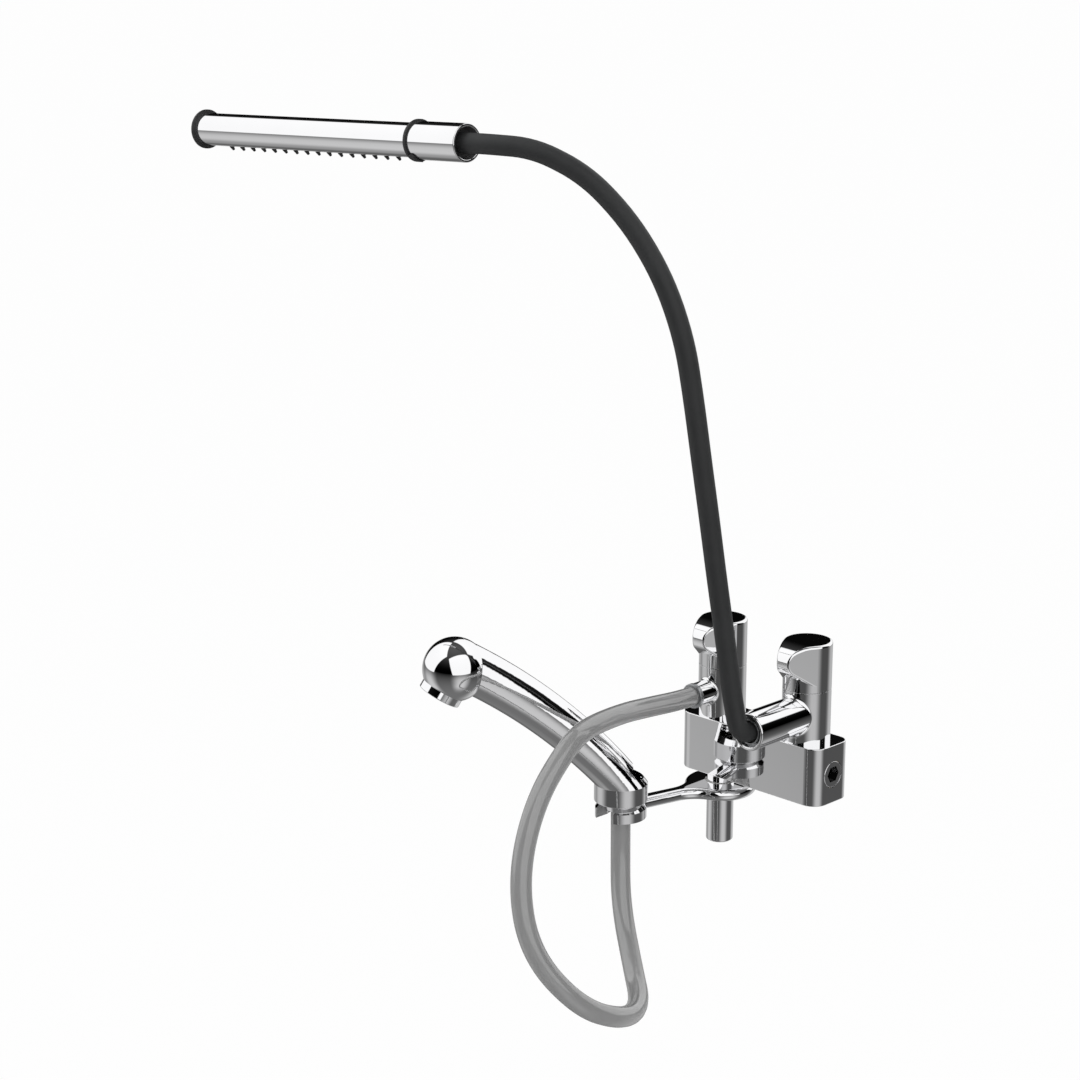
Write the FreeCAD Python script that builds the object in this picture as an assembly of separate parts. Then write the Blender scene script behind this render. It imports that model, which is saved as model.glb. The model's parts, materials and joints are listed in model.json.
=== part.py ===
import FreeCAD, Part
import math
import os

# Wall-mounted pet bath shower: a valve body with two columns, a handset on a hose in a swivelling
# ring holder, and a bent arm that carries a shower bar.
# Millimetres. Origin at the middle of the wall face, +X along the two columns, -Y away from the
# wall, +Z up.

Vec = FreeCAD.Vector
up = Vec(0, 0, 1)
out = Vec(0, -1, 0)

# Fits
running_gap = 0.05
moving_gap = 0.3
overshoot = 1.0

# Housing and wall plate
wall_gap = 12.0
housing_width = 168.0
housing_depth = 49.0
housing_height = 55.4
housing_wall = 2.0
front_corner = 15.0
back_corner = 11.0
housing_edge = 0.8
plate_thickness = 3.0
plate_corner = 4.0
pad_width = 120.0
pad_height = 40.0

# Valve columns
column_spacing = 101.6
column_radius = 22.5
column_height = 48.8
valve_inset = 24.5
column_edge = 0.2
neck_radius = 13.0
chamber_radius = 13.0
chamber_floor = 18.0
nut_radius = 16.0
nut_height = 6.0
seal_width = 3.0
seal_height = 1.6

# Waterway casting
riser_radius = 13.0
riser_bore = 6.0
waterway_radius = 7.0
casting_radius = 14.5
inlet_radius = 13.5
inlet_flange = 2.0
inlet_thread_radius = 9.3
inlet_thread_length = 14.0
check_valve_radius = 7.9
check_valve_length = 6.0
check_valve_bore = 5.0

# End plugs
plug_head_radius = 12.4
plug_head_length = 5.0
plug_shank_radius = 9.4
plug_shank_length = 12.0
hexagon_flats = 14.0
hexagon_depth = 9.0

# Handles
handle_height = 44.5
handle_edge = 2.5
handle_foot_edge = 0.2
lug_radius = 13.0
lug_reach = 23.4
lug_drop = 15.0
lug_nose_width = 12.6
lug_slope = 25.0
lug_under_slope = 35.0
handle_wall = 3.0
handle_roof = 17.0
handle_cover = 6.0
boss_radius = 8.0
boss_length = 20.0
spindle_radius = 5.0
disc_radius = 10.0
disc_thickness = 2.3
port_radius = 3.0
guide_length = 3.0
screw_radius = 2.0
screw_length = 10.0
screw_socket_flats = 2.0
screw_socket_depth = 2.5

# Spout on the right column
spout_radius = 17.5
spout_reach = 83.5
spout_wall = 2.4
outlet_height = 25.5
spout_fillet = 4.0
spout_bore_depth = 54.0
lip_length = 3.2
lip_wall = 3.6
lip_edge = 1.7
grey_ring_bore = 10.6
grey_ring_wall = 1.5
grey_ring_edge = 0.6
grey_ring_depth = 1.6
grey_ring_seat = 9.5
grey_ring_foot = 13.0
arm_insertion = 16.0
root_fitting_length = 22.0
swivel_seal_width = 2.5
swivel_seal_depth = 2.0

# Hose outlet on the left column
outlet_radius = 11.2
outlet_reach = 39.5
outlet_fillet = 3.0
flange_radius = 11.75
flange_length = 4.0
nipple_radius = 5.5
nipple_bore = 3.6
nipple_length = 16.0

# Pivot post under the left column
post_radius = 12.8
post_wall = 1.6
post_drop = 72.6
post_edge = 1.8
post_plug_length = 10.0

# Holder arm and its ring
hub_gap = 12.5
arm_thickness = 11.0
hub_radius = 34.0
arm_edge = 5.2
bar_width = 16.0
bar_blend = 28.0
ring_reach = 112.8
holder_angle = -104.3
ring_radius = 24.0
ring_drop = 11.3
ring_height = 15.6
ring_bore_top = 15.4
ring_bore_foot = 12.8
ring_neck_radius = 19.6
ring_neck_height = 2.2
slot_width = 22.5
slot_angle = -91.5
bush_wall = 2.0
clip_width = 3.4
clip_thickness = 1.5

# Handset
handset_angle = -119.0
collar_radius = 25.1
collar_height = 17.1
collar_edge = 1.0
handle_skin = 2.4
ball_radius = 29.4
ball_reach = 158.3
ball_rise = 141.9
spray_radius = 20.0
spray_face = 28.8
spray_tilt = -58.5
spray_wall = 2.2
spray_depth = 9.0
spray_plate_thickness = 2.0
spray_plate_recess = 1.4
spray_hole_radius = 0.8
spray_hole_rings = 3
inner_tube_radius = 7.0
inner_tube_wall = 1.5
foot_bore = 10.0
hose_nut_wall = 2.0
hose_grip = 14.1
hose_foot_gap = 7.3
neck_depth = 6.0

# Handset's handle: a tube that leaves the collar in line with it and bends in one long arc
grip_lean = 51.0
grip_bend = 536.0
grip_length = 210.0
grip_head_radius = 22.3
grip_sections = 7

# Bent arm
arm_radius = 9.0
arm_wall = 2.5
arm_exit_run = 11.0
sleeve_entry_run = 27.0
supply_radius = 5.0
supply_wall = 1.2

# Shower bar
bar_across = 175.0
bar_forward = 245.0
bar_height = 569.1
bar_droop = 2.2
sleeve_radius = 17.0
sleeve_wall = 2.6
sleeve_edge = 0.9
sleeve_length = 60.8
sleeve_plug_depth = 9.0
sleeve_plug_length = 6.0
tip_fitting_gap = 4.0
joint_ring_radius = 18.9
joint_ring_length = 2.2
joint_tab_width = 16.0
joint_tab_length = 5.0
joint_tab_corner = 3.0
joint_tab_turn = -25.0
bar_radius = 15.4
bar_wall = 1.4
bar_length = 367.5
end_ring_radius = 18.7
end_ring_length = 2.0
end_disc_thickness = 2.0
spigot_depth = 26.0
spigot_length = 9.0
spigot_bore = 6.0
spigot_seal_offset = 10.0
nozzle_count = 16
nozzle_pitch = 15.93
nozzle_setback = 31.7
nozzle_radius = 2.0
nozzle_tip_radius = 1.2
nozzle_bore = 0.6
nozzle_length = 4.2
nozzle_root_depth = 3.2
nozzle_turn = 5.0
nozzle_lean = 36.0
strip_thickness = 1.8
strip_width = 14.0
strip_margin = 3.0

# Hose
hose_radius = 9.3
hose_exit_run = 27.0

housing_back = -wall_gap
housing_front = housing_back - housing_depth
valve_depth = wall_gap + valve_inset
left = -column_spacing / 2
right = column_spacing / 2
housing_top = housing_height / 2
seam_level = housing_top + column_height
outlet_level = housing_top + outlet_height
chamber_level = housing_top + chamber_floor
handle_top = seam_level + moving_gap + handle_height
spindle_top = handle_top - handle_cover
screw_level = (handle_top - handle_roof + spindle_top) / 2
screw_foot = -valve_depth + spindle_radius + running_gap
lug_centre = Vec(0, -valve_depth - lug_reach, handle_top - lug_drop)
lug_under = math.radians(lug_under_slope)
lug_chin = lug_centre - Vec(0, math.sin(lug_under), math.cos(lug_under)) * lug_radius
lug_heel = Vec(0, -valve_depth - column_radius / 3, 0)
lug_heel.z = lug_chin.z - (lug_heel.y - lug_chin.y) * math.tan(lug_under)
hub_top = -housing_top - hub_gap
ring_top = -housing_top - ring_drop
ring_foot = ring_top - ring_height
ring_x = left + ring_reach * math.cos(math.radians(holder_angle))
ring_y = -valve_depth + ring_reach * math.sin(math.radians(holder_angle))
spout_end = -valve_depth - spout_reach
outlet_end = -valve_depth - outlet_reach
flange_end = outlet_end - flange_length
hose_foot = ring_foot + hose_foot_gap
hose_end = hose_foot + hose_grip
bar_start = Vec(-bar_across, -bar_forward, bar_height)
bar_axis = Vec(-math.cos(math.radians(bar_droop)), 0, -math.sin(math.radians(bar_droop)))

# Points of the arm's free length: across, forward, and share of its rise from spout to bar
arm_bends = [
    (44, -134, 0.0712),
    (40.3, -141, 0.1777),
    (38.3, -151, 0.2842),
    (36.5, -160, 0.3887),
    (34, -169, 0.4932),
    (32, -178, 0.5978),
    (28.3, -187, 0.7003),
    (11.2, -195, 0.7991),
    (-20.3, -203, 0.8881),
    (-61, -215, 0.9607),
    (-107, -231, 0.9992),
]
arm_rise = bar_height - outlet_level
arm_route = [
    Vec(right, spout_end + arm_insertion, outlet_level),
    Vec(right, spout_end - arm_exit_run, outlet_level),
    *[Vec(across, forward, outlet_level + share * arm_rise) for across, forward, share in arm_bends],
    bar_start - bar_axis * sleeve_entry_run,
    bar_start + bar_axis * (sleeve_plug_depth + sleeve_plug_length + tip_fitting_gap),
]

hose_route = [
    Vec(left, flange_end, outlet_level),
    Vec(left, flange_end - hose_exit_run, outlet_level),
    Vec(-43, -138, 59),
    Vec(-31, -176, 69),
    Vec(-18, -226, 78),
    Vec(-10, -284, 70),
    Vec(-6, -336, 30),
    Vec(1, -362, -32),
    Vec(21, -363, -94),
    Vec(47, -330, -146),
    Vec(45, -274, -183),
    Vec(13, -221, -200),
    Vec(-32, -183, -186),
    Vec(-65, -158, -136),
    Vec(ring_x, ring_y, -84),
    Vec(ring_x, ring_y, hose_end),
]

# The arm's tangent arcs almost meet, and the hose's leave a short run between them
arm_share = 0.48
hose_share = 0.45


def cylinder(radius, start, end):
    return Part.makeCylinder(radius, (end - start).Length, start, end - start)


def pipe(outer, inner, start, end):
    return cylinder(outer, start, end).cut(cylinder(inner, start, end))


def upright(radius, x, y, low, high):
    return cylinder(radius, Vec(x, y, low), Vec(x, y, high))


def upright_pipe(outer, inner, x, y, low, high):
    return pipe(outer, inner, Vec(x, y, low), Vec(x, y, high))


def forward(radius, x, z, near, far):
    """Cylinder along -Y from y = near to y = far."""
    return cylinder(radius, Vec(x, near, z), Vec(x, far, z))


def forward_pipe(outer, inner, x, z, near, far):
    return pipe(outer, inner, Vec(x, near, z), Vec(x, far, z))


def rim_at(solid, centre):
    """Circular edges of a solid around the given point."""
    circles = [e for e in solid.Edges if isinstance(e.Curve, Part.Circle)]
    return [e for e in circles if (e.Curve.Center - centre).Length < 1e-5]


def rounded_cylinder(radius, start, end, edge):
    """Cylinder whose rim at its end is rounded."""
    solid = cylinder(radius, start, end)
    return solid.makeFillet(edge, rim_at(solid, end))


def fuse(first, *others):
    return first.fuse(list(others)).removeSplitter()


def is_along(edge, direction):
    run = edge.Vertexes[-1].Point - edge.Vertexes[0].Point
    return run.Length > 1e-6 and run.cross(direction).Length < 1e-6


def upright_edges_at(block, y):
    return [e for e in block.Edges if is_along(e, up) and abs(e.Vertexes[0].Y - y) < 1e-6]


def rounded_block(width, near, far, near_radius, far_radius, low, high):
    """Block from y = near, at the wall, to y = far, with rounded upright corners."""
    block = Part.makeBox(width, near - far, high - low, Vec(-width / 2, far, low))
    block = block.makeFillet(far_radius, upright_edges_at(block, far))
    return block.makeFillet(near_radius, upright_edges_at(block, near))


def arc_route(points, share):
    """Straight runs joined by tangent arcs, each as large as its two runs allow."""
    edges = []
    radii = []
    last = points[0]
    for before, corner, after in zip(points, points[1:], points[2:]):
        arrive = corner - before
        leave = after - corner
        half_turn = arrive.getAngle(leave) / 2
        setback = share * min(arrive.Length, leave.Length)
        radius = setback / math.tan(half_turn)
        arrive.normalize()
        leave.normalize()
        start = corner - arrive * setback
        end = corner + leave * setback
        inward = leave - arrive
        inward.normalize()
        middle = corner + inward * (radius / math.cos(half_turn) - radius)
        edges.append(Part.LineSegment(last, start).toShape())
        edges.append(Part.Arc(start, middle, end).toShape())
        radii.append(round(radius))
        last = end
    edges.append(Part.LineSegment(last, points[-1]).toShape())
    return Part.Wire(edges), radii


def swept(name, points, radius, share):
    """Round solid along a route; its volume is compared with its section times its length."""
    path, radii = arc_route(points, share)
    profile = Part.Wire(Part.makeCircle(radius, points[0], points[1] - points[0]))
    solid = path.makePipeShell([profile], True, False)
    expected = math.pi * radius * radius * path.Length
    ratio = round(solid.Volume / expected, 4)
    print(name, "length", round(path.Length), "radii", radii, "volume ratio", ratio)
    return solid


def save(name, shape):
    shape.exportStep("parts/" + name + ".step")
    print(name, "volume", round(shape.Volume), "solids", len(shape.Solids), "valid", shape.isValid())


def housing_shell():
    half = housing_height / 2
    block = rounded_block(housing_width, housing_back, housing_front, back_corner, front_corner, -half, half)
    rims = [e for e in block.Edges if abs(abs(e.CenterOfMass.z) - half) < 1e-6]
    rims = [e for e in rims if e.CenterOfMass.y < housing_back - 0.01]
    block = block.makeFillet(housing_edge, rims)
    inner = half - housing_wall
    hollow = rounded_block(housing_width - 2 * housing_wall, housing_back + housing_wall,
                           housing_front + housing_wall, back_corner - housing_wall,
                           front_corner - housing_wall, -inner, inner)
    shell = block.cut(hollow)
    for x in (left, right):
        shell = shell.cut(upright(neck_radius + moving_gap, x, -valve_depth, 0, half + overshoot))
    shell = shell.cut(upright(post_radius + moving_gap, left, -valve_depth, -half - overshoot, 0))
    side = Vec(housing_width, 0, 0)
    axis = Vec(0, -valve_depth, 0)
    return shell.cut(cylinder(plug_head_radius + moving_gap, axis - side, axis + side))


def upright_panel(width, height, near, far):
    """Panel from y = near to y = far with rounded corners."""
    panel = Part.makeBox(width, near - far, height, Vec(-width / 2, far, -height / 2))
    return panel.makeFillet(plate_corner, [e for e in panel.Edges if is_along(e, out)])


def wall_plate():
    """Plate that closes the housing's back, with the pad that holds the housing off the wall."""
    height = housing_height - 2 * housing_wall - 2 * moving_gap
    width = housing_width - 2 * back_corner
    inner_face = housing_back - plate_thickness
    plate = upright_panel(width, height, housing_back, inner_face)
    plate = fuse(plate, upright_panel(pad_width, pad_height, 0, housing_back))
    for x in (left, right):
        plate = plate.cut(forward(inlet_radius + running_gap, x, 0, 0, inner_face))
    return plate


def waterway_casting():
    half = housing_width / 2 - plug_head_length
    axis = Vec(0, -valve_depth, 0)
    side = Vec(1, 0, 0)
    riser_top = housing_top - housing_wall
    post_spigot = post_radius - post_wall - running_gap
    body = cylinder(casting_radius, axis - side * half, axis + side * half)
    for x in (left, right):
        body = fuse(body, upright(riser_radius, x, -valve_depth, 0, riser_top),
                    forward(inlet_radius, x, 0, 0, -valve_depth),
                    forward(inlet_radius + inlet_flange, x, 0, housing_back - plate_thickness, -valve_depth))
    body = fuse(body, upright(post_spigot, left, -valve_depth, -housing_top, 0))
    body = body.cut(cylinder(waterway_radius, axis - side * half, axis + side * half))
    for way in (-1, 1):
        end = axis + side * (way * half)
        body = body.cut(cylinder(plug_shank_radius, end - side * (way * plug_shank_length), end))
    for x in (left, right):
        body = body.cut(upright(riser_bore, x, -valve_depth, 0, riser_top))
        body = body.cut(forward(inlet_thread_radius, x, 0, 0, -inlet_thread_length))
        body = body.cut(forward(check_valve_radius, x, 0, 0, -valve_depth))
    return body


def check_valve(x):
    near = -inlet_thread_length
    return forward_pipe(check_valve_radius, check_valve_bore, x, 0, near, near - check_valve_length)


def hexagon(flats, centre, direction, depth):
    corner = flats / 2 / math.cos(math.pi / 6)
    across = direction.cross(up)
    points = []
    for k in range(7):
        angle = math.radians(60 * k)
        points.append(centre + across * (corner * math.cos(angle)) + up * (corner * math.sin(angle)))
    return Part.Face(Part.makePolygon(points)).extrude(direction * depth)


def end_plug(way):
    face = Vec(way * housing_width / 2, -valve_depth, 0)
    inward = Vec(-way, 0, 0)
    seat = face + inward * plug_head_length
    head = rounded_cylinder(plug_head_radius, seat, face, housing_edge)
    shank = cylinder(plug_shank_radius - running_gap, seat, seat + inward * plug_shank_length)
    return fuse(head, shank).cut(hexagon(hexagon_flats, face, inward, hexagon_depth))


def column_with_outlet(x, radius, end, fillet):
    """Chrome valve body with its neck and a round outlet along -Y, blended into it."""
    axis = Vec(x, -valve_depth, 0)
    body = rounded_cylinder(column_radius, axis + up * housing_top, axis + up * seam_level, column_edge)
    body = fuse(body, forward(radius, x, outlet_level, -valve_depth, end))
    crossing = [e for e in body.Edges if not isinstance(e.Curve, (Part.Line, Part.Circle))]
    body = body.makeFillet(fillet, crossing)
    return fuse(body, upright(neck_radius, x, -valve_depth, housing_top - housing_wall, housing_top))


def column_bores(body, x):
    body = body.cut(upright(riser_bore, x, -valve_depth, 0, chamber_level))
    body = body.cut(upright(chamber_radius, x, -valve_depth, chamber_level, seam_level))
    body = body.cut(upright(nut_radius + running_gap, x, -valve_depth, seam_level - nut_height, seam_level))
    groove = upright_pipe(neck_radius + seal_width + running_gap, neck_radius, x, -valve_depth,
                          housing_top, housing_top + seal_height + running_gap)
    return body.cut(groove)


def left_column():
    body = column_with_outlet(left, outlet_radius, outlet_end, outlet_fillet)
    body = column_bores(body, left)
    socket_end = outlet_end + nipple_length / 2
    socket = forward(nipple_radius + running_gap, left, outlet_level, socket_end, outlet_end)
    return body.cut(socket).cut(forward(nipple_bore, left, outlet_level, -valve_depth, outlet_end))


def right_column():
    bore = spout_radius - spout_wall
    body = column_with_outlet(right, spout_radius, spout_end + lip_length, spout_fillet)
    body = column_bores(body, right)
    body = body.cut(forward(bore, right, outlet_level, spout_end + spout_bore_depth, spout_end))
    return body.cut(forward(riser_bore, right, outlet_level, -valve_depth, spout_end))


def column_seal(x):
    return upright_pipe(neck_radius + seal_width, neck_radius + running_gap, x, -valve_depth,
                        housing_top, housing_top + seal_height)


def cartridge(x):
    low = chamber_level + disc_thickness
    top = seam_level - nut_height
    body = upright_pipe(chamber_radius - running_gap, disc_radius + moving_gap, x, -valve_depth, low, top)
    guide = upright_pipe(chamber_radius - running_gap, spindle_radius + running_gap, x, -valve_depth,
                         top - guide_length, top)
    body = fuse(body, guide)
    return body.cut(forward(2 * port_radius, x, outlet_level, -valve_depth, -valve_depth - column_radius))


def valve_disc(x, radius, low, port_side):
    disc = upright(radius, x, -valve_depth, low, low + disc_thickness)
    port = upright(port_radius, x, -valve_depth + port_side * disc_radius / 2, low, low + disc_thickness)
    return disc.cut(port)


def fixed_disc(x):
    return valve_disc(x, chamber_radius - running_gap, chamber_level, -1)


def turning_disc(x):
    return valve_disc(x, disc_radius, chamber_level + disc_thickness + moving_gap, 1)


def spindle(x):
    foot = chamber_level + 2 * disc_thickness + moving_gap
    return fuse(upright(spindle_radius, x, -valve_depth, foot, spindle_top),
                upright(disc_radius, x, -valve_depth, foot, foot + disc_thickness))


def gland_nut(x):
    return upright_pipe(nut_radius, spindle_radius + running_gap, x, -valve_depth,
                        seam_level - nut_height, seam_level)


def lug_profile(x):
    """Handle's side shape: flat top, curve down over the lug, round nose, and a sloping underside."""
    slope = math.radians(lug_slope)
    shoulder = lug_centre + Vec(0, -math.sin(slope), math.cos(slope)) * lug_radius
    crown = (handle_top - shoulder.z) / (1 - math.cos(slope))
    brow = Vec(0, shoulder.y + crown * math.sin(slope), handle_top)
    half_slope = Vec(0, -math.sin(slope / 2), math.cos(slope / 2))
    brow_middle = brow - up * crown + half_slope * crown
    back_top = Vec(0, -valve_depth + column_radius + overshoot, handle_top)
    back_foot = Vec(0, back_top.y, lug_heel.z)
    edges = [
        Part.LineSegment(back_top, brow).toShape(),
        Part.Arc(brow, brow_middle, shoulder).toShape(),
        Part.Arc(shoulder, lug_centre + out * lug_radius, lug_chin).toShape(),
        Part.LineSegment(lug_chin, lug_heel).toShape(),
        Part.LineSegment(lug_heel, back_foot).toShape(),
        Part.LineSegment(back_foot, back_top).toShape(),
    ]
    face = Part.Face(Part.Wire(edges))
    face.translate(Vec(x - 2 * column_radius, 0, 0))
    return face.extrude(Vec(4 * column_radius, 0, 0))


def handle_outline(x):
    """Handle and lug in plan: the lug's flat sides run from its nose, tangent to the round back."""
    nose = lug_reach + lug_radius + overshoot
    half_nose = lug_nose_width / 2
    turn = math.acos(column_radius / math.hypot(nose, half_nose)) + math.atan2(half_nose, nose)
    across = column_radius * math.sin(turn)
    forwards = column_radius * math.cos(turn)
    axis = Vec(x, -valve_depth, lug_heel.z)
    right_nose = axis + Vec(half_nose, -nose, 0)
    right_touch = axis + Vec(across, -forwards, 0)
    back = axis + Vec(0, column_radius, 0)
    left_touch = axis + Vec(-across, -forwards, 0)
    left_nose = axis + Vec(-half_nose, -nose, 0)
    edges = [
        Part.LineSegment(right_nose, right_touch).toShape(),
        Part.Arc(right_touch, back, left_touch).toShape(),
        Part.LineSegment(left_touch, left_nose).toShape(),
        Part.LineSegment(left_nose, right_nose).toShape(),
    ]
    return Part.Face(Part.Wire(edges))


def handle(x):
    """Round handle with its lug, rounded all along its top; the set screw's hole is in its back."""
    low = seam_level + moving_gap
    upper = handle_outline(x).extrude(up * (handle_top - lug_heel.z)).common(lug_profile(x))
    upper = upper.makeFillet(handle_edge, rim_at(upper, Vec(x, -valve_depth, handle_top)))
    base = rounded_cylinder(column_radius, Vec(x, -valve_depth, lug_chin.z), Vec(x, -valve_depth, low),
                            handle_foot_edge)
    body = fuse(upper, base)
    roof = handle_top - handle_roof
    body = body.cut(upright(column_radius - handle_wall, x, -valve_depth, low, roof))
    body = fuse(body, upright(boss_radius, x, -valve_depth, roof - boss_length, roof + overshoot))
    body = body.cut(upright(spindle_radius + running_gap, x, -valve_depth, roof - boss_length, spindle_top))
    back = -valve_depth + column_radius + overshoot
    return body.cut(forward(screw_radius + running_gap, x, screw_level, back, -valve_depth))


def handle_screw(x):
    """Set screw through the handle's back against the spindle, with a hexagon socket."""
    head = screw_foot + screw_length
    screw = forward(screw_radius, x, screw_level, head, screw_foot)
    return screw.cut(hexagon(screw_socket_flats, Vec(x, head, screw_level), out, screw_socket_depth))


def spout_lip():
    """Chrome lip with a fully rounded front."""
    face = Vec(right, spout_end, outlet_level)
    back = spout_end + lip_length
    ring = forward_pipe(spout_radius, spout_radius - lip_wall, right, outlet_level, back, spout_end)
    return ring.makeFillet(lip_edge, rim_at(ring, face))


def spout_grey_ring():
    """Grey sleeve around the arm, on a flange that seats in the spout behind a deep groove."""
    face = Vec(right, spout_end + grey_ring_depth, outlet_level)
    foot = spout_end + grey_ring_foot
    tube = forward(grey_ring_bore + grey_ring_wall, right, outlet_level, foot, face.y)
    tube = tube.makeFillet(grey_ring_edge, rim_at(tube, face))
    flange = forward(spout_radius - spout_wall - running_gap, right, outlet_level, foot,
                     spout_end + grey_ring_seat)
    return fuse(tube, flange).cut(forward(grey_ring_bore, right, outlet_level, foot, spout_end))


def arm_root_fitting():
    radius = spout_radius - spout_wall - moving_gap
    front = spout_end + arm_insertion
    back = front + root_fitting_length
    fitting = forward_pipe(radius, supply_radius - supply_wall, right, outlet_level, back, front)
    middle = (front + back) / 2
    seal_end = middle + swivel_seal_width
    groove = forward_pipe(radius, radius - swivel_seal_depth, right, outlet_level, seal_end, middle)
    return fitting.cut(groove)


def arm_swivel_seal():
    radius = spout_radius - spout_wall - moving_gap
    middle = spout_end + arm_insertion + root_fitting_length / 2
    seal_end = middle + swivel_seal_width
    return forward_pipe(radius, radius - swivel_seal_depth, right, outlet_level, seal_end, middle)


def hose_flange():
    ring = forward_pipe(flange_radius, nipple_radius, left, outlet_level, outlet_end, flange_end)
    return ring.makeFillet(housing_edge, rim_at(ring, Vec(left, flange_end, outlet_level))[:1])


def hose_outlet_nipple():
    start = outlet_end + nipple_length / 2
    return forward_pipe(nipple_radius, nipple_bore, left, outlet_level, start, flange_end)


def pivot_post():
    foot = -housing_top - post_drop + post_plug_length
    top = -inlet_radius - inlet_flange
    return upright_pipe(post_radius, post_radius - post_wall, left, -valve_depth, foot, top)


def post_end_plug():
    foot = -housing_top - post_drop
    seat = Vec(left, -valve_depth, foot + post_plug_length)
    head = rounded_cylinder(post_radius, seat, Vec(left, -valve_depth, foot), post_edge)
    spigot_radius = post_radius - post_wall - running_gap
    spigot = upright(spigot_radius, left, -valve_depth, seat.z, seat.z + post_plug_length)
    return fuse(head, spigot)


def holder_clip():
    low = hub_top - arm_thickness
    return upright_pipe(post_radius + clip_width, post_radius + running_gap, left, -valve_depth,
                        low, low + clip_thickness)


def toward(angle, length):
    return Vec(math.cos(math.radians(angle)), math.sin(math.radians(angle)), 0) * length


def holder_plan():
    """Hub disc, straight bar with concave blends, and the ring's outline."""
    low = hub_top - arm_thickness
    centre = Vec(left, -valve_depth, low)
    hub = cylinder(hub_radius, centre, centre + up * arm_thickness)
    along = toward(holder_angle, 1)
    across = toward(holder_angle + 90, bar_width / 2)
    start = centre
    end = centre + along * (ring_reach - ring_radius / 2)
    corners = [start + across, end + across, end - across, start - across, start + across]
    bar = Part.Face(Part.makePolygon(corners)).extrude(up * arm_thickness)
    body = fuse(hub, bar)
    return body.makeFillet(bar_blend, [e for e in body.Edges if is_waist(e, centre)])


def is_waist(edge, centre):
    """Upright edges where the bar leaves the hub."""
    flat = edge.CenterOfMass - centre
    flat.z = 0
    off_rim = abs(flat.Length - hub_radius)
    off_side = abs(flat.cross(toward(holder_angle, 1)).Length - bar_width / 2)
    return is_along(edge, up) and off_rim < 1e-3 and off_side < 1e-3


def holder_arm():
    low = hub_top - arm_thickness
    plate = holder_plan()
    rims = [e for e in plate.Edges if is_plate_rim(e, low)]
    plate = plate.makeFillet(arm_edge, rims)
    ring_foot_centre = Vec(ring_x, ring_y, ring_foot)
    ring_top_centre = Vec(ring_x, ring_y, ring_top)
    ring = cylinder(ring_radius, ring_foot_centre, ring_top_centre - up * ring_neck_height)
    chamfer = ring_radius - ring_neck_radius
    ring = ring.makeChamfer(chamfer, rim_at(ring, ring_top_centre - up * ring_neck_height))
    neck = cylinder(ring_neck_radius, ring_foot_centre, ring_top_centre)
    body = fuse(plate, ring, neck)
    bore = Part.makeCone(ring_bore_foot, ring_bore_top, ring_height, ring_foot_centre)
    body = body.cut(bore).cut(ring_slot())
    body = body.cut(upright(post_radius + bush_wall + 2 * running_gap, left, -valve_depth, low, hub_top))
    counterbore = post_radius + clip_width + moving_gap
    return body.cut(upright(counterbore, left, -valve_depth, low, low + clip_thickness + moving_gap))


def is_plate_rim(edge, low):
    """Top and bottom edges of the plate, apart from those at its ring end."""
    middle = edge.CenterOfMass
    level = abs(middle.z - low) < 1e-4 or abs(middle.z - low - arm_thickness) < 1e-4
    along = (middle - Vec(left, -valve_depth, middle.z)).dot(toward(holder_angle, 1))
    return level and along < ring_reach - ring_radius / 2 - 0.01


def ring_slot():
    centre = Vec(ring_x, ring_y, ring_foot - overshoot)
    across = toward(slot_angle + 90, slot_width / 2)
    end = centre + toward(slot_angle, 2 * ring_radius)
    corners = [centre + across, end + across, end - across, centre - across, centre + across]
    return Part.Face(Part.makePolygon(corners)).extrude(up * (ring_height + 2 * overshoot))


def holder_bush():
    low = hub_top - arm_thickness + clip_thickness + moving_gap
    return upright_pipe(post_radius + bush_wall + running_gap, post_radius + running_gap, left, -valve_depth,
                        low, hub_top)


def in_handset_plane(reach, rise):
    """Point in the upright plane that the handset leans in, from the foot of its collar."""
    return Vec(ring_x, ring_y, ring_top + moving_gap) + toward(handset_angle, reach) + up * rise


def handset_direction(angle):
    turn = math.radians(angle)
    return toward(handset_angle, math.cos(turn)) + up * math.sin(turn)


def grip_section(share):
    """Centre, lean and radius of the handle's section at a share of its length.

    The first section lies level on the collar, and the later ones turn square to the arc.
    """
    foot = math.radians(grip_lean)
    lean = foot - share * grip_length / grip_bend
    reach = grip_bend * (math.sin(foot) - math.sin(lean))
    rise = collar_height + grip_bend * (math.cos(lean) - math.cos(foot))
    slant = (90 - grip_lean) * (1 - share) ** 2
    foot_radius = collar_radius * math.sin(foot)
    radius = foot_radius + (grip_head_radius - foot_radius) * share
    return in_handset_plane(reach, rise), math.degrees(lean) + slant, radius / math.cos(math.radians(slant))


def handle_loft(inset):
    """Handle's round form, or with an inset its hollow, which runs on past both ends."""
    sections = [grip_section(k / (grip_sections - 1)) for k in range(grip_sections)]
    if inset:
        centre, lean, radius = sections[0]
        sections.insert(0, (centre - handset_direction(lean) * inset, lean, radius))
        centre, lean, radius = sections[-1]
        sections.append((centre + handset_direction(lean) * inset, lean, radius))
    profiles = [section_circle(radius - inset, centre, lean) for centre, lean, radius in sections]
    return Part.makeLoft(profiles, True, False)


def section_circle(radius, centre, lean):
    """Circle across the handset's handle; all start on the same side, so the loft doesn't twist."""
    forwards = handset_direction(lean)
    upwards = handset_direction(lean + 90)
    turn = FreeCAD.Rotation(upwards, forwards.cross(upwards), forwards, "ZXY")
    circle = Part.makeCircle(radius)
    circle.Placement = FreeCAD.Placement(centre, turn)
    return Part.Wire(circle)


def ball_centre():
    return in_handset_plane(ball_reach, ball_rise)


def spray_axis():
    return handset_direction(spray_tilt)


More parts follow.
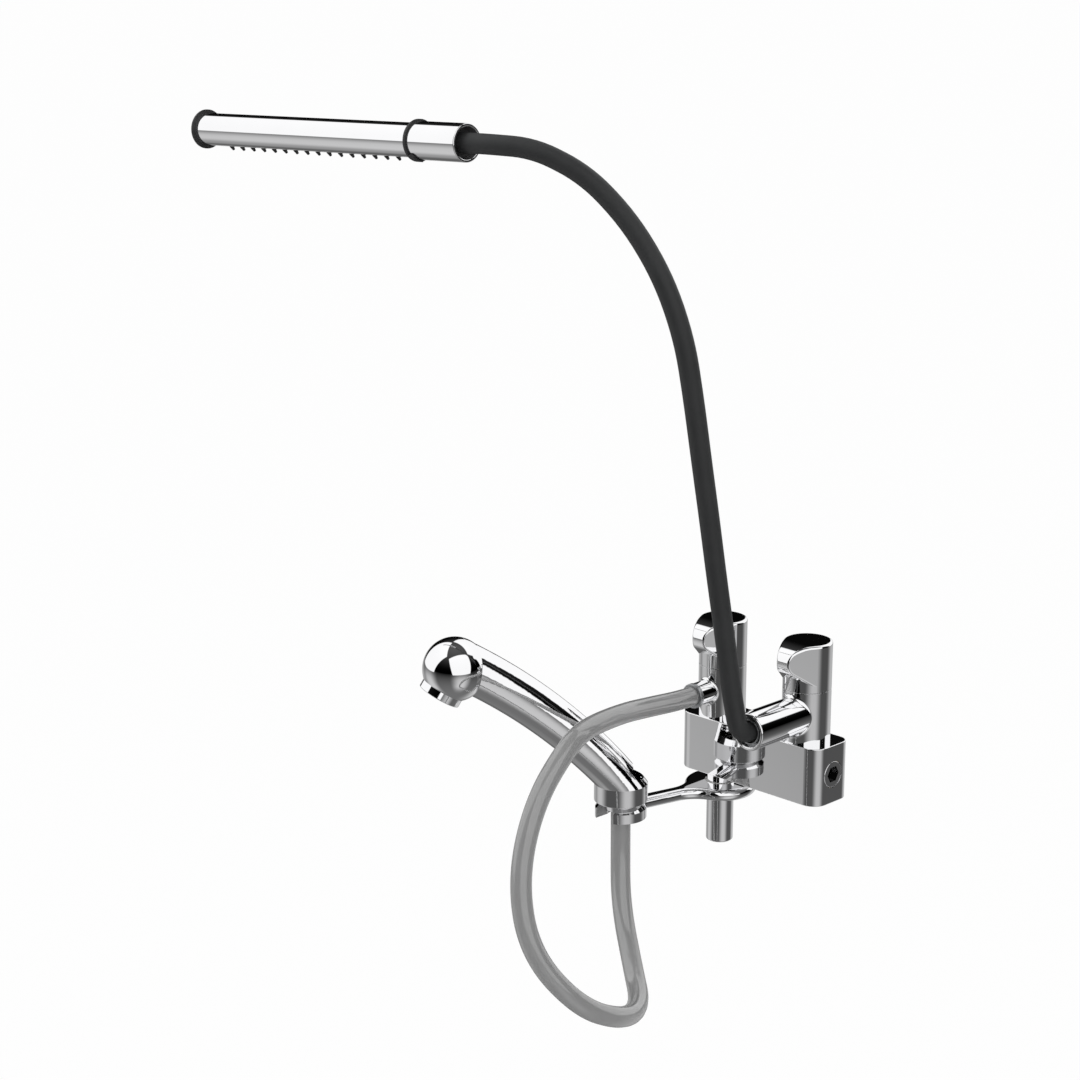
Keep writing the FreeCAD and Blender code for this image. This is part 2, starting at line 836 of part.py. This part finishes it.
def handset_handle():
    centre = ball_centre()
    body = handle_loft(0).fuse(Part.makeSphere(ball_radius, centre))
    body = body.cut(handle_loft(handle_skin)).cut(Part.makeSphere(ball_radius - handle_skin, centre))
    return body.cut(cylinder(spray_radius + running_gap, centre, centre + spray_axis() * 2 * ball_radius))


def handset_collar():
    foot = in_handset_plane(0, 0)
    top = in_handset_plane(0, collar_height)
    collar = rounded_cylinder(collar_radius, top, foot, collar_edge)
    return collar.cut(cylinder(foot_bore + hose_nut_wall + running_gap, foot, top))


def handset_seal():
    """Ring on top of the hose nut's neck that seals it to the inner tube."""
    low = in_handset_plane(0, collar_height - neck_depth)
    high = in_handset_plane(0, collar_height - neck_depth + seal_width)
    return pipe(foot_bore + hose_nut_wall, inner_tube_radius + running_gap, low, high)


def inner_tube_route():
    heights = (collar_height - neck_depth, collar_height + neck_depth)
    points = [in_handset_plane(0, height) for height in heights]
    for k in range(1, grip_sections - 1):
        points.append(grip_section(k / (grip_sections - 1))[0])
    points.append(ball_centre())
    return points


def handset_inner_tube():
    points = inner_tube_route()
    tube = swept("inner_tube", points, inner_tube_radius, hose_share)
    return tube.cut(swept("inner_tube_bore", points, inner_tube_radius - inner_tube_wall, hose_share))


def spray_ring():
    face = ball_centre() + spray_axis() * spray_face
    back = face - spray_axis() * spray_depth
    body = rounded_cylinder(spray_radius, back, face, housing_edge)
    return body.cut(cylinder(spray_radius - spray_wall, back, face))


def spray_plate():
    face = ball_centre() + spray_axis() * (spray_face - spray_plate_recess)
    back = face - spray_axis() * spray_plate_thickness
    radius = spray_radius - spray_wall - running_gap
    plate = cylinder(radius, back, face)
    across = handset_direction(spray_tilt + 90)
    sideways = across.cross(spray_axis())
    for ring in range(1, spray_hole_rings + 1):
        reach = radius * ring / (spray_hole_rings + 1)
        for k in range(6 * ring):
            angle = 2 * math.pi * k / (6 * ring)
            offset = across * (reach * math.cos(angle)) + sideways * (reach * math.sin(angle))
            plate = plate.cut(cylinder(spray_hole_radius, back + offset, face + offset))
    return plate


def hose_nut():
    """Conical nut that seats in the ring, with a straight neck up into the collar."""
    foot = Vec(ring_x, ring_y, hose_foot)
    taper = (ring_bore_top - ring_bore_foot) / ring_height
    foot_radius = ring_bore_foot + taper * (hose_foot - ring_foot) - moving_gap
    top_radius = ring_bore_top - moving_gap
    cone_height = ring_top + moving_gap - hose_foot
    nut = Part.makeCone(foot_radius, top_radius, cone_height, foot)
    neck_top = foot + up * (cone_height + collar_height - neck_depth)
    nut = fuse(nut, cylinder(foot_bore + hose_nut_wall, foot + up * cone_height, neck_top))
    nut = nut.cut(cylinder(hose_radius + moving_gap, foot, Vec(ring_x, ring_y, hose_end + moving_gap)))
    return nut.cut(cylinder(inner_tube_radius - inner_tube_wall, foot, neck_top))


def along_bar(distance):
    return bar_start + bar_axis * distance


def bar_pipe(outer, inner, start, end):
    return pipe(outer, inner, along_bar(start), along_bar(end))


def bar_sleeve():
    sleeve = bar_pipe(sleeve_radius, sleeve_radius - sleeve_wall, 0, sleeve_length)
    return sleeve.makeFillet(sleeve_edge, rim_at(sleeve, along_bar(0)))


def sleeve_plug():
    return bar_pipe(sleeve_radius - sleeve_wall - running_gap, arm_radius + running_gap,
                    sleeve_plug_depth, sleeve_plug_depth + sleeve_plug_length)


def arm_tip_fitting():
    start = sleeve_plug_depth + sleeve_plug_length + tip_fitting_gap
    end = sleeve_length - spigot_depth - tip_fitting_gap
    return bar_pipe(sleeve_radius - sleeve_wall - running_gap, supply_radius - supply_wall, start, end)


def bar_spigot():
    start = sleeve_length - spigot_depth
    turning = sleeve_radius - sleeve_wall - moving_gap
    thick = bar_pipe(turning, spigot_bore, start, sleeve_length)
    inside = bar_radius - bar_wall - running_gap
    thin = bar_pipe(inside, spigot_bore, sleeve_length, sleeve_length + spigot_length)
    seal_start = start + spigot_seal_offset
    groove = bar_pipe(turning, turning - swivel_seal_depth, seal_start, seal_start + swivel_seal_width)
    return fuse(thick, thin).cut(groove)


def bar_seal():
    start = sleeve_length - spigot_depth + spigot_seal_offset
    turning = sleeve_radius - sleeve_wall - moving_gap
    return bar_pipe(turning, turning - swivel_seal_depth, start, start + swivel_seal_width)


def round_bar(angle):
    """Direction square to the bar, at an angle from straight down towards the wall."""
    turn = math.radians(angle)
    return Vec(-bar_axis.z, 0, bar_axis.x) * math.cos(turn) + Vec(0, 1, 0) * math.sin(turn)


def joint_ring():
    """Black ring between sleeve and tube, with a rounded tab that reaches over the sleeve below."""
    start = sleeve_length + moving_gap
    ring = bar_pipe(joint_ring_radius, bar_radius - bar_wall, start, start + joint_ring_length)
    inside = sleeve_radius + moving_gap
    band = bar_pipe(joint_ring_radius, inside, start - joint_tab_length, start + overshoot)
    outwards = round_bar(joint_tab_turn)
    half = outwards.cross(bar_axis) * (joint_tab_width / 2)
    near = along_bar(start + joint_ring_length)
    far = along_bar(start - joint_tab_length)
    corners = [near - half, near + half, far + half, far - half, near - half]
    tab = Part.Face(Part.makePolygon(corners)).extrude(outwards * 2 * joint_ring_radius)
    ends = [e for e in tab.Edges if is_along(e, outwards) and (e.CenterOfMass - far).dot(bar_axis) < 1]
    return fuse(ring, band.common(tab.makeFillet(joint_tab_corner, ends)))


def tube_start():
    return sleeve_length + moving_gap + joint_ring_length


def nozzle_places():
    return [sleeve_length + nozzle_setback + nozzle_pitch * k for k in range(nozzle_count)]


def nozzle_root(place):
    """Where a nozzle leaves the tube's surface."""
    return along_bar(place) + round_bar(nozzle_turn) * bar_radius


def through_wall(radius, place, reach):
    """Round piece along a nozzle, from inside the tube to its reach beyond the surface."""
    root = nozzle_root(place)
    leaning = round_bar(nozzle_lean)
    return cylinder(radius, root - leaning * nozzle_root_depth, root + leaning * reach)


def bar_tube():
    tube = bar_pipe(bar_radius, bar_radius - bar_wall, tube_start(), bar_length - end_ring_length)
    for place in nozzle_places():
        tube = tube.cut(through_wall(nozzle_radius + running_gap, place, nozzle_length))
    return tube


def nozzle_strip():
    """Rubber strip inside the tube, with its row of nozzles out through the tube's holes."""
    outer = bar_radius - bar_wall - running_gap
    start = nozzle_places()[0] - strip_margin
    end = nozzle_places()[-1] + strip_margin
    band = bar_pipe(outer, outer - strip_thickness, start, end)
    half = round_bar(nozzle_turn).cross(bar_axis) * (strip_width / 2)
    origin = along_bar(start)
    far = round_bar(nozzle_turn) * bar_radius
    corners = [origin - half, origin + half, origin + half + far, origin - half + far, origin - half]
    strip = band.common(Part.Face(Part.makePolygon(corners)).extrude(bar_axis * (end - start)))
    for place in nozzle_places():
        tip = Part.makeCone(nozzle_radius, nozzle_tip_radius, nozzle_length, nozzle_root(place),
                            round_bar(nozzle_lean))
        strip = strip.fuse(through_wall(nozzle_radius, place, 0)).fuse(tip)
    for place in nozzle_places():
        strip = strip.cut(through_wall(nozzle_bore, place, nozzle_length + overshoot))
    return strip.removeSplitter()


def bar_end_ring():
    """Black cap ring around the far end of the tube."""
    return bar_pipe(end_ring_radius, bar_radius - bar_wall, bar_length - end_ring_length, bar_length)


def bar_end_disc():
    return cylinder(bar_radius - bar_wall - running_gap, along_bar(bar_length - end_disc_thickness),
                    along_bar(bar_length))


os.makedirs("parts", exist_ok=True)
save("housing_shell", housing_shell())
save("wall_plate", wall_plate())
save("waterway_casting", waterway_casting())
save("left_end_plug", end_plug(-1))
save("right_end_plug", end_plug(1))
save("left_column", left_column())
save("right_column", right_column())
for side, x in (("left", left), ("right", right)):
    save(side + "_check_valve", check_valve(x))
    save(side + "_column_seal", column_seal(x))
    save(side + "_cartridge", cartridge(x))
    save(side + "_fixed_disc", fixed_disc(x))
    save(side + "_gland_nut", gland_nut(x))
    save(side + "_turning_disc", turning_disc(x))
    save(side + "_spindle", spindle(x))
    save(side + "_handle", handle(x))
    save(side + "_handle_screw", handle_screw(x))
save("spout_lip_ring", spout_lip())
save("spout_grey_ring", spout_grey_ring())
save("hose_outlet_flange", hose_flange())
save("hose_outlet_nipple", hose_outlet_nipple())
save("pivot_post", pivot_post())
save("post_end_plug", post_end_plug())
save("holder_clip", holder_clip())
save("holder_arm", holder_arm())
save("holder_bush", holder_bush())
save("handset_collar", handset_collar())
save("handset_seal", handset_seal())
save("handset_handle", handset_handle())
save("handset_inner_tube", handset_inner_tube())
save("spray_ring", spray_ring())
save("spray_plate", spray_plate())
save("hose_nut", hose_nut())
save("arm_root_fitting", arm_root_fitting())
save("arm_swivel_seal", arm_swivel_seal())
arm_outside = swept("arm", arm_route, arm_radius, arm_share)
save("arm_sleeve", arm_outside.cut(swept("arm_bore", arm_route, arm_radius - arm_wall, arm_share)))
supply = swept("supply", arm_route, supply_radius, arm_share)
save("arm_supply_hose", supply.cut(swept("supply_bore", arm_route, supply_radius - supply_wall, arm_share)))
save("arm_tip_fitting", arm_tip_fitting())
save("bar_sleeve", bar_sleeve())
save("sleeve_inner_plug", sleeve_plug())
save("bar_spigot", bar_spigot())
save("bar_seal", bar_seal())
save("bar_joint_ring", joint_ring())
save("bar_tube", bar_tube())
save("nozzle_strip", nozzle_strip())
save("bar_end_ring", bar_end_ring())
save("bar_end_disc", bar_end_disc())
save("hose", swept("hose", hose_route, hose_radius, hose_share))
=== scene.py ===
import json
import math

import bmesh
import bpy
from mathutils import Matrix, Vector


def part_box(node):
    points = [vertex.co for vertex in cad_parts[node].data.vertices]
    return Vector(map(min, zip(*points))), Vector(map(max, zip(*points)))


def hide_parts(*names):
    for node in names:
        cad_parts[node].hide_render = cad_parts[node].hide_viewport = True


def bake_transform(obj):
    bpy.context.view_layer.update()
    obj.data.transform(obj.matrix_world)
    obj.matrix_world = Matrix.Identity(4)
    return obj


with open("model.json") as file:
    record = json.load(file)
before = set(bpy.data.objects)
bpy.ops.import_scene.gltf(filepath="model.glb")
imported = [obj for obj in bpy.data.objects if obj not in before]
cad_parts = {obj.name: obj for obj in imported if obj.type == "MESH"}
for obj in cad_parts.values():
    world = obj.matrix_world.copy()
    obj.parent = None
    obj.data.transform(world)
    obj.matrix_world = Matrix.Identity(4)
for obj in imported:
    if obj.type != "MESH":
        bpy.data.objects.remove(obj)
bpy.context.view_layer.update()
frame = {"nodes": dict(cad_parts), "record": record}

# Wall-mounted pet bath shower: finishes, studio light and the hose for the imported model.
# Metres, in the model's frame: the wall is at y = 0, the bath is towards -Y, and Z is up.

nodes = frame["nodes"]
scene = bpy.context.scene
wallGap = 0.012  # the housing's back stands this far off the wall


def showStage(text):
    print("stage:", text)


cameraPlace = {
    "location": (1.4118, -1.7368 - wallGap, 0.8021),
    "azimuth": 44.889,  # degrees from straight on, towards the right side
    "pitch": 15.106,  # degrees downwards
    "lens": 83.37,
    "sensor": 36.0,
    "reach": 50.0,
}


def addCamera():
    data = bpy.data.cameras.new("camera")
    data.lens = cameraPlace["lens"]
    data.sensor_width = cameraPlace["sensor"]
    data.clip_end = cameraPlace["reach"]
    camera = bpy.data.objects.new("camera", data)
    camera.location = cameraPlace["location"]
    tilt = math.radians(90 - cameraPlace["pitch"])
    camera.rotation_euler = (tilt, 0, math.radians(cameraPlace["azimuth"]))
    scene.collection.objects.link(camera)
    scene.camera = camera


showStage("camera")
addCamera()
scene.view_settings.view_transform = "Standard"


# A wrapped socket: + - * / and abs on it add Math nodes to its tree
class Wire:
    def __init__(self, graph, socket):
        self.graph = graph
        self.socket = socket

    def maths(self, operation, first, second):
        return self.graph.node("ShaderNodeMath", {"operation": operation}, {0: first, 1: second})

    def __add__(self, other):
        return self.maths("ADD", self, other)

    def __radd__(self, other):
        return self.maths("ADD", other, self)

    def __sub__(self, other):
        return self.maths("SUBTRACT", self, other)

    def __rsub__(self, other):
        return self.maths("SUBTRACT", other, self)

    def __mul__(self, other):
        return self.maths("MULTIPLY", self, other)

    def __rmul__(self, other):
        return self.maths("MULTIPLY", other, self)

    def __truediv__(self, other):
        return self.maths("DIVIDE", self, other)

    def __rtruediv__(self, other):
        return self.maths("DIVIDE", other, self)

    def __abs__(self):
        return self.maths("ABSOLUTE", self, 0.0)


halfTurn, fullTurn = 180, 360  # degrees


class Graph:
    def __init__(self, tree):
        self.tree = tree
        tree.nodes.clear()

    def node(self, kind, settings=None, inputs=None, output=0):
        made = self.tree.nodes.new(kind)
        for name, value in (settings or {}).items():
            setattr(made, name, value)
        for key, value in (inputs or {}).items():
            if isinstance(value, Wire):
                self.tree.links.new(value.socket, made.inputs[key])
            else:
                made.inputs[key].default_value = value
        return Wire(self, made.outputs[output]) if made.outputs else None

    def rise(self, value, low, high):
        settings = {"interpolation_type": "SMOOTHSTEP"}
        return self.node("ShaderNodeMapRange", settings, {"Value": value, "From Min": low, "From Max": high})

    def band(self, value, low, high, soft):
        return self.rise(value, low - soft, low + soft) - self.rise(value, high - soft, high + soft)

    def dot(self, value, axis):
        settings = {"operation": "DOT_PRODUCT"}
        return self.node("ShaderNodeVectorMath", settings, {0: value, 1: tuple(axis)}, "Value")

    def parts(self, place):
        split = self.node("ShaderNodeSeparateXYZ", {}, {0: place}).socket.node
        return [Wire(self, socket) for socket in split.outputs]

    # Degrees between an angle and a direction, the shorter way round
    def away(self, angle, middle):
        turned = angle - middle + (fullTurn + halfTurn)
        return abs(turned.maths("FLOORED_MODULO", turned, fullTurn) - halfTurn)

    def ray(self, kind):
        return self.node("ShaderNodeLightPath", {}, {}, f"Is {kind} Ray")

    def noise(self, place, scale, detail):
        return self.node("ShaderNodeTexNoise", {}, {"Vector": place, "Scale": scale, "Detail": detail})

    def mixColours(self, factor, first, second):
        first, second = [tone if isinstance(tone, Wire) else tuple(tone) + (1.0,) for tone in (first, second)]
        return self.node("ShaderNodeMix", {"data_type": "RGBA"}, {0: factor, 6: first, 7: second}, 2)


# Three square light panels stand round the object, each leaning over it; between them it is dark
studio = {
    # direction round from +X in degrees, then half the width, foot and top of the panel, one unit away
    "panels": [(-19, 0.74, -0.70, 0.70), (91, 0.64, -0.70, 0.62), (-153, 0.76, -0.70, 0.90)],
    "lean": 30.0,
    "panelEdge": 0.035,
    "panelFront": 0.05,  # a panel has no back: it fades in over this much in front of the object
    # the floor is darker between the panels: direction, half the width, fade beside it, how dark, and
    # how far below the horizon it starts, from 0 to 1 straight down
    "darkFloor": [(-84, 22, 38, 1.0, -1.0), (37, 14, 35, 1.0, -1.0), (-177, 0, 22, 0.5, -1.0),
                  (147, 8, 36, 1.0, 0.3)],
    "darkFade": 0.2,  # over this much further down it gets as dark as that
    "ceiling": 0.09,
    "floorTone": (0.26, 0.10),
    "floorGlow": 0.46,
    # the glow from the horizon down: where it begins, how it grows and where it ends
    "glowStart": (0.0, 0.06),
    "glowRise": (-0.15, 0.45),
    "glowEnd": (0.7, 1.0),
    "fill": 1.25,  # how much more of it matt surfaces receive
    "key": {"place": (-0.6, -1.2, 2.6), "size": 1.8, "power": 16.0},
    "aim": (-0.15, -0.15, 0.2),
}


def panelLight(graph, place):
    lean = Matrix.Rotation(math.radians(studio["lean"]), 3, "Y")
    soft = studio["panelEdge"]
    panels = 0.0
    for middle, wide, foot, top in studio["panels"]:
        turn = Matrix.Rotation(math.radians(middle), 3, "Z") @ lean.inverted()
        ahead, aside, upwards = [graph.dot(place, axis) for axis in turn.col]
        panel = graph.band(aside / ahead, -wide, wide, soft) * graph.band(upwards / ahead, foot, top, soft)
        panels = panels + panel * graph.rise(ahead, 0.0, studio["panelFront"])
    return panels


def floorLight(graph, around, falling):
    strength = studio["floorGlow"]
    for middle, half, fade, depth, level in studio["darkFloor"]:
        dark = 1 - graph.rise(graph.away(around, middle) - half, 0.0, fade)
        below = graph.rise(falling, level, level + studio["darkFade"])
        strength = strength * (1 - depth * below * dark)
    glow = graph.rise(falling, *studio["glowRise"]) * (1 - graph.rise(falling, *studio["glowEnd"]))
    return glow * graph.rise(falling, *studio["glowStart"]) * strength


def addWorld():
    world = bpy.data.worlds.new("studio")
    scene.world = world
    world.use_nodes = True
    graph = Graph(world.node_tree)
    place = graph.node("ShaderNodeTexCoord")
    x, y, height = graph.parts(place)
    around = x.maths("ARCTAN2", y, x) * math.degrees(1)
    rising = height.maths("MAXIMUM", height, 0.0)
    falling = height.maths("MAXIMUM", 0.0 - height, 0.0)
    panels = panelLight(graph, place)
    ceiling = rising * rising * rising * studio["ceiling"]
    near, far = studio["floorTone"]
    glow = floorLight(graph, around, falling) * (1 - panels)
    mirrored = panels + ceiling + falling * near - falling * falling * far + glow
    glossy = graph.ray("Glossy")
    direct = graph.ray("Camera") + graph.ray("Transmission")
    strength = direct + (1 - direct) * mirrored * (glossy + (1 - glossy) * studio["fill"])
    background = graph.node("ShaderNodeBackground", {}, {"Color": (1.0, 1.0, 1.0, 1.0), "Strength": strength})
    graph.node("ShaderNodeOutputWorld", {}, {"Surface": background})


def addLamp(name, settings):
    data = bpy.data.lights.new(name, "AREA")
    data.size = settings["size"]
    data.energy = settings["power"]
    lamp = bpy.data.objects.new(name, data)
    lamp.location = settings["place"]
    aim = Vector(studio["aim"]) - Vector(settings["place"])
    lamp.rotation_euler = aim.to_track_quat("-Z", "Y").to_euler()
    lamp.visible_glossy = False
    scene.collection.objects.link(lamp)


def newObject(name, bm, smooth=True):
    mesh = bpy.data.meshes.new(name)
    bm.to_mesh(mesh)
    bm.free()
    if smooth:
        mesh.shade_smooth()
    made = bpy.data.objects.new(name, mesh)
    scene.collection.objects.link(made)
    return made


floorShape = {
    "size": 40.0,
    "level": -0.75,
    "colour": (0.9, 0.9, 0.9),
    "white": 0.95,  # how much of it is plain white to the camera; the rest keeps the shadow
}


def addFloor():
    bm = bmesh.new()
    bmesh.ops.create_grid(bm, x_segments=2, y_segments=2, size=floorShape["size"])
    bmesh.ops.translate(bm, verts=bm.verts, vec=(0, 0, floorShape["level"]))
    floor = newObject("floor", bm, False)
    material = bpy.data.materials.new("paleFloor")
    material.use_nodes = True
    graph = Graph(material.node_tree)
    matt = graph.node("ShaderNodeBsdfDiffuse", {}, {"Color": floorShape["colour"] + (1.0,)})
    bright = graph.node("ShaderNodeEmission", {}, {"Strength": 1.0})
    white = (graph.ray("Camera") + graph.ray("Transmission")) * floorShape["white"]
    surface = graph.node("ShaderNodeMixShader", {}, {0: white, 1: matt, 2: bright})
    graph.node("ShaderNodeOutputMaterial", {}, {"Surface": surface})
    floor.data.materials.append(material)
    floor.visible_glossy = False


showStage("studio")
addWorld()
addLamp("keyLamp", studio["key"])
addFloor()

# Finishes: two tones mixed by broad patches, a range of roughness, and a fine grain that gives the relief
finishes = {
    "chrome": {"tones": [(0.97, 0.97, 0.98), (0.93, 0.93, 0.94)], "metal": 1.0, "roughness": (0.015, 0.04),
               "patch": 18, "grain": 900, "relief": 0.002},
    "stainlessSteel": {"tones": [(0.62, 0.61, 0.6), (0.5, 0.5, 0.5)], "metal": 1.0, "roughness": (0.25, 0.4),
                       "patch": 90, "grain": 1500, "relief": 0.05},
    "brass": {"tones": [(0.78, 0.6, 0.32), (0.66, 0.49, 0.25)], "metal": 1.0, "roughness": (0.22, 0.4),
              "patch": 60, "grain": 1400, "relief": 0.05},
    "ceramic": {"tones": [(0.88, 0.88, 0.85), (0.82, 0.82, 0.8)], "metal": 0.0, "roughness": (0.12, 0.2),
                "patch": 70, "grain": 2500, "relief": 0.01},
    "blackPlastic": {"tones": [(0.018, 0.018, 0.019), (0.03, 0.03, 0.031)], "metal": 0.0,
                     "roughness": (0.42, 0.58), "patch": 60, "grain": 2200, "relief": 0.12},
    "whitePlastic": {"tones": [(0.8, 0.8, 0.78), (0.74, 0.74, 0.72)], "metal": 0.0, "roughness": (0.35, 0.5),
                     "patch": 50, "grain": 1800, "relief": 0.06},
    "greyPlastic": {"tones": [(0.22, 0.22, 0.22), (0.17, 0.17, 0.17)], "metal": 0.0,
                    "roughness": (0.35, 0.5), "patch": 60, "grain": 2000, "relief": 0.08},
    "satinGrey": {"tones": [(0.5, 0.51, 0.52), (0.42, 0.43, 0.44)], "metal": 1.0, "roughness": (0.3, 0.42),
                  "patch": 120, "grain": 2400, "relief": 0.04},
    "armRubber": {"tones": [(0.02, 0.021, 0.022), (0.032, 0.033, 0.034)], "metal": 0.0,
                  "roughness": (0.5, 0.68), "patch": 35, "grain": 1600, "relief": 0.2},
    "greyHose": {"tones": [(0.33, 0.33, 0.33), (0.29, 0.29, 0.29)], "metal": 0.0, "roughness": (0.07, 0.13),
                 "patch": 40, "grain": 700, "relief": 0.02, "ior": 1.85},
    "nozzleRubber": {"tones": [(0.012, 0.012, 0.012), (0.02, 0.02, 0.02)], "metal": 0.0,
                     "roughness": (0.5, 0.65), "patch": 90, "grain": 2600, "relief": 0.12},
    "sealRubber": {"tones": [(0.03, 0.03, 0.03), (0.045, 0.045, 0.045)], "metal": 0.0,
                   "roughness": (0.5, 0.65), "patch": 90, "grain": 2600, "relief": 0.12},
}
texture = {"patchDetail": 2.0, "grainDetail": 4.0, "grainHeight": 0.0005, "ior": 1.5}
# An end plug's recess gets painted shade: its chrome keeps its colour this far in from the plug's end, and
# deeper in the colour is painted dark (tone) to stand in for the shade in the deep recess
plugRecessShade = {"plated": 0.0075, "edge": 0.0005, "tone": (0.012, 0.012, 0.012)}
finishes["plugChrome"] = {**finishes["chrome"], "recess": plugRecessShade}


# Painted shade in the plug's recess: deeper in from the plug's end than the unshaded depth, the colour is
# mixed to the dark tone
def paintRecessShade(graph, place, colour, recess):
    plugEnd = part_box("right_end_plug")[1][0]
    across = abs(graph.parts(place)[0])
    plated = graph.rise(across, plugEnd - recess["plated"] - recess["edge"], plugEnd - recess["plated"])
    return graph.mixColours(1 - plated, colour, recess["tone"])


def makeFinish(name, look):
    material = bpy.data.materials.new(name)
    material.use_nodes = True
    graph = Graph(material.node_tree)
    place = graph.node("ShaderNodeTexCoord", {}, {}, "Object")
    patches = graph.noise(place, look["patch"], texture["patchDetail"])
    grain = graph.noise(place, look["grain"], texture["grainDetail"])
    colour = graph.mixColours(patches, *look["tones"])
    # The end plugs' finish paints shade into their recess
    if "recess" in look:
        colour = paintRecessShade(graph, place, colour, look["recess"])
    smooth, rough = look["roughness"]
    relief = graph.node("ShaderNodeBump", {}, {
        "Strength": look["relief"],
        "Distance": texture["grainHeight"],
        "Height": grain,
    })
    surface = graph.node("ShaderNodeBsdfPrincipled", {}, {
        "Base Color": colour,
        "Metallic": look["metal"],
        "IOR": look.get("ior", texture["ior"]),
        "Roughness": patches * (rough - smooth) + smooth,
        "Normal": relief,
    })
    graph.node("ShaderNodeOutputMaterial", {}, {"Surface": surface})
    return material


showStage("finishes")
materials = {name: makeFinish(name, look) for name, look in finishes.items()}


# A slot's name in the record, such as grey_hose, stands for the finish greyHose
def finishOf(slotName):
    first, *others = slotName.split("_")
    return materials[first + "".join(word.capitalize() for word in others)]


def dress(piece, slotName):
    if piece.data.materials:
        for slot in piece.material_slots:
            slot.link = "OBJECT"
            slot.material = finishOf(slotName)
    else:
        piece.data.materials.append(finishOf(slotName))


slotNames = {row["node"]: row["material_slot"] for row in frame["record"]["subparts"]}
for name, node in nodes.items():
    dress(node, slotNames[name])
# The end plugs get the chrome with painted shade in its recess
for name in ("left_end_plug", "right_end_plug"):
    dress(nodes[name], "plug_chrome")

hoseShape = {
    "radius": 0.0093,
    # from the outlet, round under the body and up into the handset's foot; y from the housing's back
    "route": [
        (-0.0508, -0.068, 0.0532), (-0.0508, -0.084, 0.0532), (-0.043, -0.1345, 0.061),
        (-0.031, -0.1856, 0.070), (-0.018, -0.2417, 0.0742), (-0.010, -0.274, 0.069),
        (-0.0027, -0.324, 0.030), (0.0033, -0.350, -0.032), (0.0199, -0.351, -0.094),
        (0.047, -0.318, -0.146), (0.0484, -0.262, -0.1758), (0.0180, -0.209, -0.1888),
        (-0.0267, -0.171, -0.1812), (-0.0664, -0.146, -0.136), (-0.07866, -0.1338, -0.084),
        (-0.07866, -0.1338, -0.0332),
    ],
    "bendFrom": (-0.0508, -0.068, 0.0532),  # the route's first point, at the outlet
    "bendTo": (-0.0508, -0.128, -0.0368),  # a point at the holder
    "steps": 16,  # rings of faces from one point of the route to the next
    "roundFaces": 8,
    "weld": 1e-6,
}


def offWall(point):
    return Vector((point[0], point[1] - wallGap, point[2]))


def splineMesh(name, points, radius):
    curve = bpy.data.curves.new(name, "CURVE")
    curve.dimensions = "3D"
    curve.resolution_u = hoseShape["steps"]
    curve.bevel_depth = radius
    curve.bevel_resolution = hoseShape["roundFaces"]
    curve.use_fill_caps = True
    spline = curve.splines.new("NURBS")
    spline.points.add(len(points) - 1)
    for row, point in zip(spline.points, points):
        row.co = (*point, 1.0)
    spline.order_u = 3
    spline.use_endpoint_u = True
    drawn = bpy.data.objects.new(name, curve)
    scene.collection.objects.link(drawn)
    bpy.context.view_layer.update()
    shown = drawn.evaluated_get(bpy.context.evaluated_depsgraph_get())
    mesh = bpy.data.meshes.new_from_object(shown)
    bpy.data.objects.remove(drawn)
    return mesh


def addHose():
    points = [offWall(point) for point in hoseShape["route"]]
    line = splineMesh("hoseLine", points, 0.0)
    bm = bmesh.new()
    bm.from_mesh(splineMesh("hoseTube", points, hoseShape["radius"]))
    bmesh.ops.remove_doubles(bm, verts=bm.verts, dist=hoseShape["weld"])
    bmesh.ops.recalc_face_normals(bm, faces=bm.faces)
    hose = newObject("hoseTube", bm)
    dress(hose, "grey_hose")
    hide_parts("hose")
    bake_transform(hose)


showStage("hose")
addHose()

showStage("sizes")
